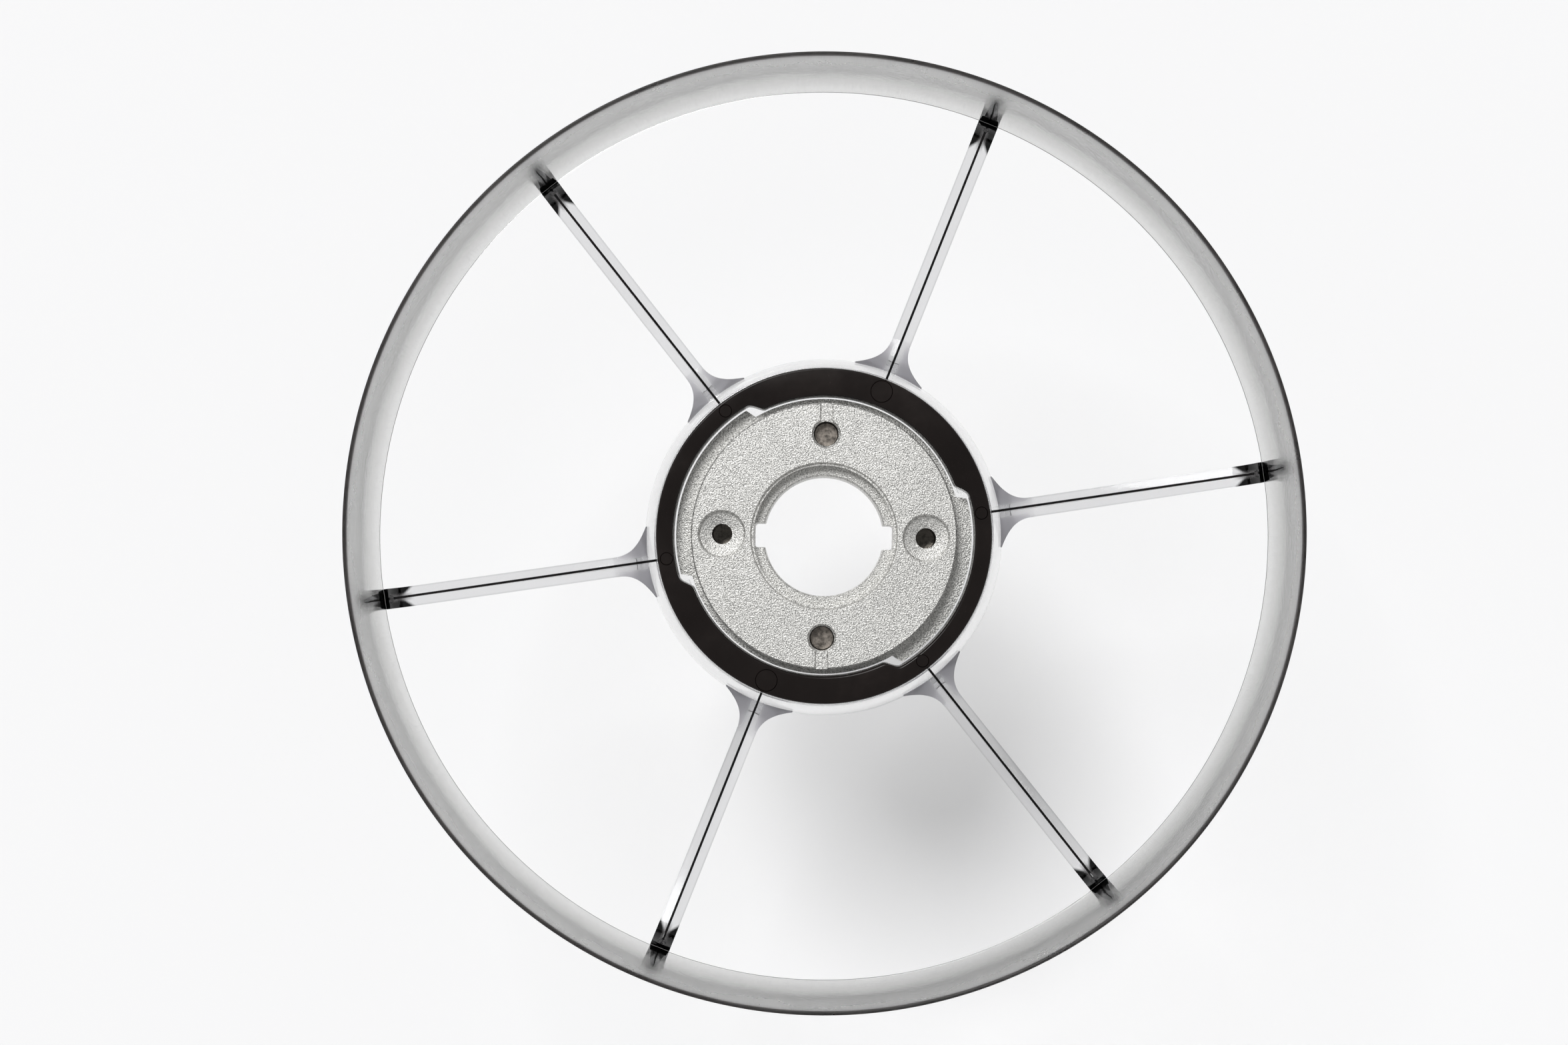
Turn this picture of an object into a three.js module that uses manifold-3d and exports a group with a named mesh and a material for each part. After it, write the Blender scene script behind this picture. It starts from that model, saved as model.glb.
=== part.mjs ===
// Ship steering wheel: a clear smoke-tinted helm wheel on a die-cast bayonet hub plate.
// Millimetres, +Z up, the wheel's axis on Z. It stands on the open end of its hub.
// The hub plate is the fixed piece and the wheel twists on it.
import * as THREE from "three";
import { mergeVertices } from "three/addons/utils/BufferGeometryUtils.js";
import Module from "manifold-3d";

const wasm = await Module();
wasm.setup();

// Wheel
const RIM_OUTER_R = 175;
const RIM_INNER_R = 172;
const RIM_LOW_Z = 30;
const RIM_HIGH_Z = 73.5;
const SPOKES = 6;
const SPOKE_TURN = 9.5; // degrees from the plate's X axis to spoke 1
const FLANGE_HALF_WIDTH = 3.9;
const FLANGE_THICK = 1.6;
const WEB_THICK = 0.9;
const GAP = 0.3;
const RIM_SIDES = 96;
const HUB_SIDES = 72;

// Hub
const FACE_Z = 34; // the ring's face and the top edges of the spoke webs
const RING_OUTER_R = 64.9;
const RING_NARROW_R = 54;
const RING_WIDE_R = 58.1;
const RING_LOW_Z = 27.6;
const LEDGE_Z = 22;
const LOBE_CENTRE = 150; // degrees from spoke 1 to the middle of a wide cut-out
const LOBE_SPAN = 81;

// Hub plate
const PLATE_TOP_Z = 34.3;
const FLANGE_TOP_Z = 27;
const FLANGE_LOW_Z = 22.3;
const BOSS_R = 51.4;
const DISC_R = 53.6;
const LUG_R = 57.6;
const LUG_SPAN = 76;
const BORE_R = 23.4;
const COUNTERBORE_R = 28.5;
const COUNTERBORE_Z = 29;
const SPIGOT_R = 33;
const SPIGOT_LOW_Z = 14;
const KEYWAY_R = 27;
const KEYWAY_WIDE = 9.5;
const HOLE_PITCH_R = 39.5;

const rad = (degrees) => (degrees * Math.PI) / 180;

const smoke = { color: 0x8b8b8e, roughness: 0.12, metalness: 0 };
const dark = { color: 0x1d1816, roughness: 0.18, metalness: 0 };
const cast = { color: 0xc4c2bc, roughness: 0.5, metalness: 1 };
const discs = { color: 0x736c62, roughness: 0.45, metalness: 1 };

const group = new THREE.Group();
group.name = "ship_steering_wheel";

function toSolid(geometry) {
  const g = geometry.clone();
  g.deleteAttribute("normal");
  g.deleteAttribute("uv");
  const merged = mergeVertices(g, 1e-4);
  return new wasm.Manifold(
    new wasm.Mesh({
      numProp: 3,
      vertProperties: new Float32Array(merged.attributes.position.array),
      triVerts: new Uint32Array(merged.index.array),
    })
  );
}

function toGeometry(solid) {
  const mesh = solid.getMesh();
  const g = new THREE.BufferGeometry();
  g.setAttribute("position", new THREE.BufferAttribute(new Float32Array(mesh.vertProperties), 3));
  g.setIndex(new THREE.BufferAttribute(new Uint32Array(mesh.triVerts), 1));
  g.computeVertexNormals();
  return g;
}

function addMesh(name, geometry, look) {
  const mesh = new THREE.Mesh(geometry, new THREE.MeshStandardMaterial(look));
  mesh.name = name;
  group.add(mesh);
}

// A closed ring whose section may change with the angle. The section runs counter-clockwise in (r, z).
function ringSolid(sectionAt, segments) {
  const count = sectionAt(0).length;
  const positions = [];
  const index = [];
  for (let i = 0; i < segments; i++) {
    const angle = (2 * Math.PI * i) / segments;
    for (const [r, z] of sectionAt(angle)) {
      positions.push(r * Math.cos(angle), r * Math.sin(angle), z);
    }
  }
  for (let i = 0; i < segments; i++) {
    const next = (i + 1) % segments;
    for (let j = 0; j < count; j++) {
      const k = (j + 1) % count;
      const a = i * count + j;
      const b = next * count + j;
      const c = next * count + k;
      const d = i * count + k;
      index.push(a, b, c, a, c, d);
    }
  }
  const g = new THREE.BufferGeometry();
  g.setAttribute("position", new THREE.BufferAttribute(new Float32Array(positions), 3));
  g.setIndex(index);
  return toSolid(g);
}

// A solid of revolution that reaches the axis.
function turned(profile, segments) {
  const points = profile.map(([r, z]) => new THREE.Vector2(r, z));
  const g = new THREE.LatheGeometry(points, segments);
  g.rotateX(Math.PI / 2);
  return toSolid(g);
}

function disc(radius, low, high, segments) {
  return turned([[0, low], [radius, low], [radius, high], [0, high]], segments);
}

function plan(points, low, high) {
  const shape = new THREE.Shape(points.map(([x, y]) => new THREE.Vector2(x, y)));
  const g = new THREE.ExtrudeGeometry(shape, { depth: high - low, bevelEnabled: false });
  g.translate(0, 0, low);
  return toSolid(g);
}

// A plate standing on the XZ plane, its outline in (r, z), centred on Y.
function upright(points, thick) {
  const shape = new THREE.Shape(points.map(([r, z]) => new THREE.Vector2(r, z)));
  const g = new THREE.ExtrudeGeometry(shape, { depth: thick, bevelEnabled: false });
  g.rotateX(Math.PI / 2);
  g.translate(0, thick / 2, 0);
  return toSolid(g);
}

const turn = (solid, degrees) => solid.rotate([0, 0, degrees]);

// 1 inside a lobe, 0 outside it, with a smooth step at each end.
function lobe(angle, centre, span, step) {
  const half = rad(span) / 2;
  const away = Math.abs(Math.atan2(Math.sin(2 * (angle - centre)), Math.cos(2 * (angle - centre)))) / 2;
  const t = Math.min(Math.max((half + rad(step) / 2 - away) / rad(step), 0), 1);
  return t * t * (3 - 2 * t);
}

// ---------------------------------------------------------------- rim
function rimSection() {
  const low = RIM_LOW_Z;
  const high = RIM_HIGH_Z;
  const inner = RIM_INNER_R;
  const outer = RIM_OUTER_R;
  return [
    [inner, low + 0.5],
    [inner + 0.4, low],
    [outer - 0.9, low],
    [outer - 0.5, low + 0.5],
    [outer, high - 2],
    [outer - 0.1, high],
    [outer - 1.1, high],
    [inner + 1.5, high - 1],
    [inner + 1.0, low + 34],
    [inner + 0.3, low + 22],
  ];
}
addMesh("rim_hoop", toGeometry(ringSolid(rimSection, RIM_SIDES)), smoke);

// ---------------------------------------------------------------- hub shell
const shellOuter = [
  [71.6, 0],
  [71.8, 3],
  [71.2, 10],
  [70.2, 16],
  [68.9, 21],
  [67.3, 25],
  [66.2, 27.3],
];
function shellSection() {
  return [
    [68.4, 0],
    ...shellOuter,
    [60, 27.3],
    [60, LEDGE_Z],
    [48, LEDGE_Z],
    [48, 18.4],
    [63.5, 17],
    [66.8, 12],
  ];
}
let shell = ringSolid(shellSection, HUB_SIDES);

// Where the plate's lugs are at rest, measured from the plate's X axis. A stop block stands
// on the ledge after each lug: the lugs come up to the stops when the wheel has turned 90 degrees.
const LUG_CENTRE = SPOKE_TURN + LOBE_CENTRE;
const STOP_HALF = 5.5;
for (const side of [0, 180]) {
  const stop = [];
  const from = LUG_CENTRE + LUG_SPAN / 2 + 1.5 + side;
  for (const r of [55.2, 61]) {
    for (let i = 0; i <= 4; i++) {
      const step = r > 60 ? 4 - i : i;
      const a = rad(from + (2 * STOP_HALF * step) / 4);
      stop.push([r * Math.cos(a), r * Math.sin(a)]);
    }
  }
  shell = shell.add(plan(stop.reverse(), LEDGE_Z - 0.5, RING_LOW_Z - GAP));
}
addMesh("hub_shell", toGeometry(shell), smoke);

// ---------------------------------------------------------------- hub ring
function ringSection(angle) {
  const wide = lobe(angle - rad(SPOKE_TURN), rad(LOBE_CENTRE), LOBE_SPAN, 6);
  const inner = RING_NARROW_R + (RING_WIDE_R - RING_NARROW_R) * wide;
  return [
    [inner, RING_LOW_Z],
    [RING_OUTER_R, RING_LOW_Z],
    [RING_OUTER_R, FACE_Z - 0.5],
    [RING_OUTER_R - 0.5, FACE_Z],
    [inner + 0.9, FACE_Z],
    [inner + 0.35, FACE_Z - 0.5],
  ];
}
let hubRing = ringSolid(ringSection, 2 * HUB_SIDES);

// Round pins stand in the ring over each spoke root, smaller where the ring is narrow.
const pins = [];
for (let i = 0; i < SPOKES; i++) {
  const slim = i % 3 !== 1;
  const radius = slim ? 2.4 : 4.2;
  const pitch = slim ? 61.4 : 60;
  pins.push({ angle: SPOKE_TURN + i * 60, radius, pitch });
}
for (const pin of pins) {
  const hole = disc(pin.radius + GAP, FACE_Z - 5, FACE_Z + 2, 20).translate([pin.pitch, 0, 0]);
  hubRing = hubRing.subtract(turn(hole, pin.angle));
}
addMesh("hub_ring", toGeometry(hubRing), dark);
pins.forEach((pin, i) => {
  const r = pin.radius;
  const z = FACE_Z - 0.12;
  const body = turned([[0, z - 4.5], [r, z - 4.5], [r, z - 0.2], [r - 0.2, z], [0, z]], 20);
  addMesh(`root_pin_${i + 1}`, toGeometry(turn(body.translate([pin.pitch, 0, 0]), pin.angle)), dark);
});

// ---------------------------------------------------------------- spokes
// Line of the spoke's lower flange in (r, z): a straight run, then a curve up to the rim.
const FLANGE_IN = [60, 8];
const FLANGE_OUT = [160.5, 26.6];
const CURVE_END = [169.4, 37.5];
function flangeLine() {
  const points = [FLANGE_IN, FLANGE_OUT];
  const corner = [167.6, 28.4];
  for (let i = 1; i <= 8; i++) {
    const t = i / 8;
    const a = (1 - t) * (1 - t);
    const b = 2 * t * (1 - t);
    const c = t * t;
    points.push([
      a * FLANGE_OUT[0] + b * corner[0] + c * CURVE_END[0],
      a * FLANGE_OUT[1] + b * corner[1] + c * CURVE_END[1],
    ]);
  }
  return points;
}

// The flange's outline: its line given a thickness that grows a little into the curve.
function flangeOutline() {
  const line = flangeLine();
  const top = [];
  const bottom = [];
  line.forEach(([r, z], i) => {
    const before = line[Math.max(i - 1, 0)];
    const after = line[Math.min(i + 1, line.length - 1)];
    const dr = after[0] - before[0];
    const dz = after[1] - before[1];
    const size = Math.hypot(dr, dz);
    const half = FLANGE_THICK / 2;
    top.push([r - (dz / size) * half, z + (dr / size) * half]);
    bottom.push([r + (dz / size) * half, z - (dr / size) * half]);
  });
  return bottom.concat(top.reverse());
}

// Root of the spoke: on each side the flange opens into the hub wall with a hollow curve.
function root() {
  const side = [];
  for (let i = 0; i <= 8; i++) {
    const t = i / 8;
    side.push([84 - 15 * t, FLANGE_HALF_WIDTH + 10.2 * Math.pow(t, 2.6)]);
  }
  side.push([60, side[8][1]]);
  const otherSide = side.map(([r, y]) => [r, -y]).reverse();
  const prism = plan(otherSide.concat(side), 0, 30);
  const slope = upright([[58, 3.4], [72, 8], [88, 12.4], [88, 13.4], [76, 15], [70, 18], [58, 23]], 40);
  return prism.intersect(slope);
}

// The room that the hub shell and the ring take, with the gap round them.
const hubRoom = turned(
  [
    [0, -5],
    [shellOuter[0][0] + GAP, -5],
    ...shellOuter.slice(1).map(([r, z]) => [r + GAP, z]),
    [RING_OUTER_R + GAP + 0.1, FACE_Z - 6],
    [RING_OUTER_R + GAP + 0.1, FACE_Z + 20],
    [0, FACE_Z + 20],
  ],
  HUB_SIDES
);

function spoke() {
  const flange = upright(flangeOutline(), 2 * FLANGE_HALF_WIDTH);
  const line = flangeLine();
  const web = upright(
    [
      [62, 9],
      ...line.slice(1),
      [168.6, 38.2],
      [167.4, FACE_Z + 1.2],
      [165.2, FACE_Z + 0.2],
      [163, FACE_Z],
      [62, FACE_Z],
    ],
    WEB_THICK
  );
  return flange.add(web).add(root()).subtract(hubRoom);
}

// Strap on the inside of the rim that carries the spoke's turned-up end.
function strap() {
  const outer = RIM_INNER_R - 0.42;
  const inner = CURVE_END[0] + FLANGE_THICK / 2 + GAP;
  const outline = [
    [inner + 0.25, RIM_LOW_Z - 2.4],
    [outer, RIM_LOW_Z - 2.4],
    [outer, RIM_LOW_Z + 2],
    [outer + 0.2, RIM_LOW_Z + 22],
    [outer + 0.85, RIM_LOW_Z + 35],
    [outer + 0.5, RIM_LOW_Z + 36],
    [outer - 0.5, RIM_LOW_Z + 22],
    [outer - 0.7, 45],
    [inner, 38],
  ];
  return upright(outline, 2 * FLANGE_HALF_WIDTH);
}

const spokeSolid = spoke();
const strapSolid = strap();
for (let i = 0; i < SPOKES; i++) {
  const angle = SPOKE_TURN + i * 60;
  addMesh(`spoke_${i + 1}`, toGeometry(turn(spokeSolid, angle)), smoke);
  addMesh(`rim_strap_${i + 1}`, toGeometry(turn(strapSolid, angle)), smoke);
}

// ---------------------------------------------------------------- hub plate
function plateOutline() {
  const points = [];
  for (let i = 0; i < 2 * HUB_SIDES; i++) {
    const angle = (Math.PI * i) / HUB_SIDES;
    const out = lobe(angle, rad(LUG_CENTRE), LUG_SPAN - 1, 1.6);
    const r = DISC_R + (LUG_R - DISC_R) * out;
    points.push([r * Math.cos(angle), r * Math.sin(angle)]);
  }
  return points;
}

function hubPlate() {
  const boss = turned(
    [
      [0, SPIGOT_LOW_Z],
      [SPIGOT_R - 0.8, SPIGOT_LOW_Z],
      [SPIGOT_R, SPIGOT_LOW_Z + 0.8],
      [SPIGOT_R, FLANGE_LOW_Z + 1],
      [BOSS_R, FLANGE_LOW_Z + 1],
      [BOSS_R, PLATE_TOP_Z - 0.6],
      [BOSS_R - 0.6, PLATE_TOP_Z],
      [0, PLATE_TOP_Z],
    ],
    HUB_SIDES
  );
  const bore = turned(
    [
      [0, 5],
      [BORE_R + 0.6, 5],
      [BORE_R + 0.6, SPIGOT_LOW_Z],
      [BORE_R, SPIGOT_LOW_Z + 0.6],
      [BORE_R, COUNTERBORE_Z - 0.6],
      [BORE_R + 0.6, COUNTERBORE_Z],
      [COUNTERBORE_R - 1.2, COUNTERBORE_Z],
      [COUNTERBORE_R - 1.2, PLATE_TOP_Z - 1.3],
      [COUNTERBORE_R - 0.5, PLATE_TOP_Z - 1.3],
      [COUNTERBORE_R, PLATE_TOP_Z],
      [COUNTERBORE_R, 40],
      [0, 40],
    ],
    HUB_SIDES
  );
  let plate = plan(plateOutline(), FLANGE_LOW_Z, FLANGE_TOP_Z).add(boss).subtract(bore);
  const under = turned([[0, 15], [6.2, 15], [7, 15.8], [7, FLANGE_LOW_Z + 1], [0, FLANGE_LOW_Z + 1]], 28);
  for (const side of [0, 180]) {
    plate = plate.add(turn(under.translate([HOLE_PITCH_R, 0, 0]), side));
  }

  // Two keyways through the ledge, on the X axis, with rounded outer corners.
  const half = KEYWAY_WIDE / 2;
  const keyway = [
    [-KEYWAY_R + 1, -half],
    [KEYWAY_R - 1, -half],
    [KEYWAY_R, -half + 1],
    [KEYWAY_R, half - 1],
    [KEYWAY_R - 1, half],
    [-KEYWAY_R + 1, half],
    [-KEYWAY_R, half - 1],
    [-KEYWAY_R, -half + 1],
  ];
  plate = plate.subtract(plan(keyway, 5, COUNTERBORE_Z + 0.5));

  // Countersunk drilled holes on X, disc pockets with shallow slots on Y.
  const top = PLATE_TOP_Z;
  const drilled = turned(
    [
      [0, top - 17.4],
      [3.95, top - 15.6],
      [3.95, top - 3.8],
      [8.5, top - 1.4],
      [8.6, top - 0.6],
      [9.25, top],
      [9.25, top + 3],
      [0, top + 3],
    ],
    28
  );
  const pocket = turned(
    [
      [0, top - 9.8],
      [4.8, top - 9.8],
      [4.8, top - 0.8],
      [5.6, top],
      [5.6, top + 3],
      [0, top + 3],
    ],
    28
  );
  const slot = plan([[40, -2.25], [54, -2.25], [54, 2.25], [40, 2.25]], top - 0.9, top + 3);
  for (const side of [0, 180]) {
    plate = plate.subtract(turn(drilled.translate([HOLE_PITCH_R, 0, 0]), side));
    plate = plate.subtract(turn(pocket.translate([HOLE_PITCH_R, 0, 0]), side + 90));
    plate = plate.subtract(turn(slot, side + 90));
  }
  return plate;
}
addMesh("hub_plate", toGeometry(hubPlate()), cast);

["front", "back"].forEach((side, i) => {
  const low = PLATE_TOP_Z - 9.8 + GAP;
  const body = turned([[0, low], [4.5, low], [4.5, low + 4.3], [4.3, low + 4.5], [0, low + 4.5]], 24);
  const placed = turn(body.translate([HOLE_PITCH_R, 0, 0]), i === 0 ? 270 : 90);
  addMesh(`disc_${side}`, toGeometry(placed), discs);
});

export default group;
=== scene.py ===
import math

import bmesh
import bpy
from mathutils import Matrix, Vector


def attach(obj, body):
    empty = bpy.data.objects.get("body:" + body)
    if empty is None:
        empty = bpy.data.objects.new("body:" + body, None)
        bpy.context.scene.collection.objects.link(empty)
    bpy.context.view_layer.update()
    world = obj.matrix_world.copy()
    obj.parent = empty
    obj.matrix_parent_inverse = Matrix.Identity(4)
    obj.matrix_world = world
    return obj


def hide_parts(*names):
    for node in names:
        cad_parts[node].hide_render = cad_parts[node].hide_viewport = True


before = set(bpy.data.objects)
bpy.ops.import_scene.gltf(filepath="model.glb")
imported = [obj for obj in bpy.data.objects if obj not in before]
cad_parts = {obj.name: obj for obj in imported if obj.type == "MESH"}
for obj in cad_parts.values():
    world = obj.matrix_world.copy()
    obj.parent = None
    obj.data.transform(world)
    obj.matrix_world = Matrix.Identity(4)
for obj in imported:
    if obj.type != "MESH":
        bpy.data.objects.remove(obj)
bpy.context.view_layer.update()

MM = 0.001

# Sizes in millimetres and angles in degrees, as in the CAD model.
SPOKE_COUNT = 6
SPOKE_TURN = 9.5
FACE_Z = 34.0
# Clearances: between touching CAD pieces, and between a spoke's end and its strap here.
GAP = 0.3
TOUCH_GAP = 0.04
# Rim and spokes.
RIM_OUTER_R = 175.0
RIM_INNER_R = 172.0
RIM_LOW_Z = 30.0
RIM_HIGH_Z = 73.5
FLANGE_HALF_WIDTH = 3.9
FLANGE_THICK = 1.6
WEB_THICK = 0.9
# Hub shell, with the ledge and the two stops for the plate's lugs.
SHELL_OPEN_R = 68.4
LEDGE_Z = 22.0
LEDGE_INNER_R = 48.0
LEDGE_OUTER_R = 60.0
STOP_INNER_R = 55.2
STOP_OUTER_R = 61.0
STOP_SPAN = 11.0
STOP_CLEARANCE = 1.5
# Hub ring: its opening is wide in two lobes, whose centres are turned from the first spoke.
RING_OUTER_R = 64.9
RING_NARROW_R = 54.0
RING_WIDE_R = 58.1
RING_LOW_Z = 27.6
LOBE_CENTRE = 150.0
LOBE_SPAN = 81.0
LOBE_STEP = 6.0
# Pins in the ring's face.
SMALL_PIN_R = 2.4
SMALL_PIN_PITCH_R = 61.4
LARGE_PIN_R = 4.2
LARGE_PIN_PITCH_R = 60.0
PIN_DEPTH = 4.5
# Hub plate: flange with two lugs, boss, spigot, bore and keyways.
PLATE_TOP_Z = 34.3
FLANGE_TOP_Z = 27.0
FLANGE_LOW_Z = 22.3
BOSS_R = 51.4
DISC_R = 53.6
LUG_R = 57.6
LUG_CENTRE = SPOKE_TURN + LOBE_CENTRE
LUG_SPAN = 76.0
LUG_STEP = 1.6
BORE_R = 23.4
COUNTERBORE_R = 28.5
COUNTERBORE_Z = 29.0
SPIGOT_R = 33.0
SPIGOT_LOW_Z = 14.0
KEYWAY_R = 27.0
KEYWAY_WIDE = 9.5
# Drilled holes and their pads, pockets with their grooves, and the discs in the pockets.
HOLE_PITCH_R = 39.5
HOLE_R = 3.95
HOLE_DEPTH = 17.4
SINK_R = 8.5
SINK_DEPTH = 3.8
PAD_R = 7.0
PAD_LOW_Z = 15.0
POCKET_R = 4.8
POCKET_DEPTH = 9.8
GROOVE_HALF_WIDTH = 2.25
GROOVE_DEPTH = 0.9
GROOVE_EDGE = 0.35
GROOVE_START_R = 40.0
GROOVE_END_R = 54.0
DISC_PLUG_R = 4.5
DISC_PLUG_THICK = 4.5
# Millimetres to 1 in the UV map named laid.
LAID_MM = 400.0

# ------------------------------------------------------------------ camera
# The camera looks along the wheel's axis from a little to one side of it, so the frame is shifted
# off the lens's centre to bring the hub back to the middle. Places are in metres.
CAMERA_DISTANCE = 0.660
CAMERA_ASIDE = (-0.00259, -0.01569)
CAMERA_ROLL = math.radians(1.25)
SENSOR_MM = 36.0
LENS_MM = 39.291
LENS_SHIFT = (-0.02066, 0.03444)
cam_data = bpy.data.cameras.new("camera")
cam_data.sensor_width = SENSOR_MM
cam_data.lens = LENS_MM
cam_data.shift_x, cam_data.shift_y = LENS_SHIFT
cam_data.clip_start = 0.02
cam_data.clip_end = 20.0
camera = bpy.data.objects.new("camera", cam_data)
bpy.context.scene.collection.objects.link(camera)
camera.location = (*CAMERA_ASIDE, FACE_Z * MM + CAMERA_DISTANCE)
camera.rotation_euler = (0.0, 0.0, CAMERA_ROLL)
bpy.context.scene.camera = camera


# ------------------------------------------------------------------ materials
def new_material(name):
    mat = bpy.data.materials.new(name)
    mat.use_nodes = True
    nt = mat.node_tree
    nt.nodes.clear()
    out = nt.nodes.new("ShaderNodeOutputMaterial")
    return mat, nt, out


def node(nt, kind, **values):
    n = nt.nodes.new(kind)
    for key, value in values.items():
        if hasattr(n, key):
            setattr(n, key, value)
        else:
            n.inputs[key.replace("_", " ")].default_value = value
    return n


def ramp(nt, source, stops):
    r = nt.nodes.new("ShaderNodeValToRGB")
    r.color_ramp.elements[0].position = stops[0][0]
    r.color_ramp.elements[0].color = stops[0][1]
    r.color_ramp.elements[1].position = stops[-1][0]
    r.color_ramp.elements[1].color = stops[-1][1]
    for position, colour in stops[1:-1]:
        e = r.color_ramp.elements.new(position)
        e.color = colour
    nt.links.new(source, r.inputs["Fac"])
    return r


def grey(v):
    return (v, v, v, 1.0)


def math_node(nt, operation, a, b=None):
    n = nt.nodes.new("ShaderNodeMath")
    n.operation = operation
    for i, value in enumerate((a, b)):
        if value is None:
            continue
        if isinstance(value, (int, float)):
            n.inputs[i].default_value = value
        else:
            nt.links.new(value, n.inputs[i])
    return n.outputs[0]


def step_up(nt, value, start, end):
    """0 below start, 1 above end, smooth between. start may be larger than end."""
    n = nt.nodes.new("ShaderNodeMapRange")
    n.interpolation_type = "SMOOTHSTEP"
    n.inputs["From Min"].default_value = start
    n.inputs["From Max"].default_value = end
    nt.links.new(value, n.inputs["Value"])
    return n.outputs["Result"]


def mixed(nt, fac, a, b):
    n = nt.nodes.new("ShaderNodeMix")
    n.data_type = "RGBA"
    nt.links.new(fac, n.inputs["Factor"])
    for key, value in (("A", a), ("B", b)):
        if isinstance(value, tuple):
            n.inputs[key].default_value = value
        else:
            nt.links.new(value, n.inputs[key])
    return n.outputs["Result"]


def laid_coords(nt):
    """Millimetres along a piece and across it, from its UV map, and its height."""
    uv = nt.nodes.new("ShaderNodeUVMap")
    uv.uv_map = "laid"
    split = nt.nodes.new("ShaderNodeSeparateXYZ")
    nt.links.new(uv.outputs["UV"], split.inputs[0])
    along = math_node(nt, "MULTIPLY", split.outputs["X"], LAID_MM)
    across = math_node(nt, "MULTIPLY", math_node(nt, "SUBTRACT", split.outputs["Y"], 0.5), LAID_MM)
    coords = nt.nodes.new("ShaderNodeTexCoord")
    place_split = nt.nodes.new("ShaderNodeSeparateXYZ")
    nt.links.new(coords.outputs["Object"], place_split.inputs[0])
    height = math_node(nt, "MULTIPLY", place_split.outputs["Z"], 1000.0)
    return along, across, height, coords


def smoke_material(name, tint, colour_of, roughness, shadow):
    """Clear smoke polycarbonate: tinted by its depth, with faint moulding haze.

    colour_of returns the surface colour, extra roughness, and an alpha or None.
    """
    mat, nt, out = new_material(name)
    along, across, height, coords = laid_coords(nt)
    p = nt.nodes.new("ShaderNodeBsdfPrincipled")
    p.inputs["IOR"].default_value = 1.5
    p.inputs["Specular Tint"].default_value = grey(0.5)
    p.inputs["Transmission Weight"].default_value = 1.0
    colour, extra_rough, alpha = colour_of(nt, along, across, height)
    if alpha is not None:
        nt.links.new(alpha, p.inputs["Alpha"])
    nt.links.new(colour, p.inputs["Base Color"])
    haze = node(nt, "ShaderNodeTexNoise", Scale=60.0, Detail=4.0, Roughness=0.6)
    nt.links.new(coords.outputs["Object"], haze.inputs["Vector"])
    rough = node(nt, "ShaderNodeMapRange")
    rough.inputs["From Min"].default_value = 0.35
    rough.inputs["From Max"].default_value = 0.75
    rough.inputs["To Min"].default_value = roughness
    rough.inputs["To Max"].default_value = roughness + 0.08
    nt.links.new(haze.outputs["Fac"], rough.inputs["Value"])
    total = math_node(nt, "ADD", rough.outputs["Result"], extra_rough)
    nt.links.new(total, p.inputs["Roughness"])
    fine = node(nt, "ShaderNodeTexNoise", Scale=520.0, Detail=3.0, Roughness=0.55)
    nt.links.new(coords.outputs["Object"], fine.inputs["Vector"])
    bump = node(nt, "ShaderNodeBump", Strength=0.05, Distance=0.0004)
    nt.links.new(fine.outputs["Fac"], bump.inputs["Height"])
    nt.links.new(bump.outputs["Normal"], p.inputs["Normal"])
    clear = node(nt, "ShaderNodeBsdfTransparent")
    clear.inputs["Color"].default_value = (shadow, shadow, shadow, 1)
    path = nt.nodes.new("ShaderNodeLightPath")
    mix = nt.nodes.new("ShaderNodeMixShader")
    nt.links.new(path.outputs["Is Shadow Ray"], mix.inputs["Fac"])
    nt.links.new(p.outputs["BSDF"], mix.inputs[1])
    nt.links.new(clear.outputs["BSDF"], mix.inputs[2])
    nt.links.new(mix.outputs["Shader"], out.inputs["Surface"])
    volume = node(nt, "ShaderNodeVolumeAbsorption")
    volume.inputs["Color"].default_value = tint
    volume.inputs["Density"].default_value = 1000.0
    nt.links.new(volume.outputs["Volume"], out.inputs["Volume"])
    return mat


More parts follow.
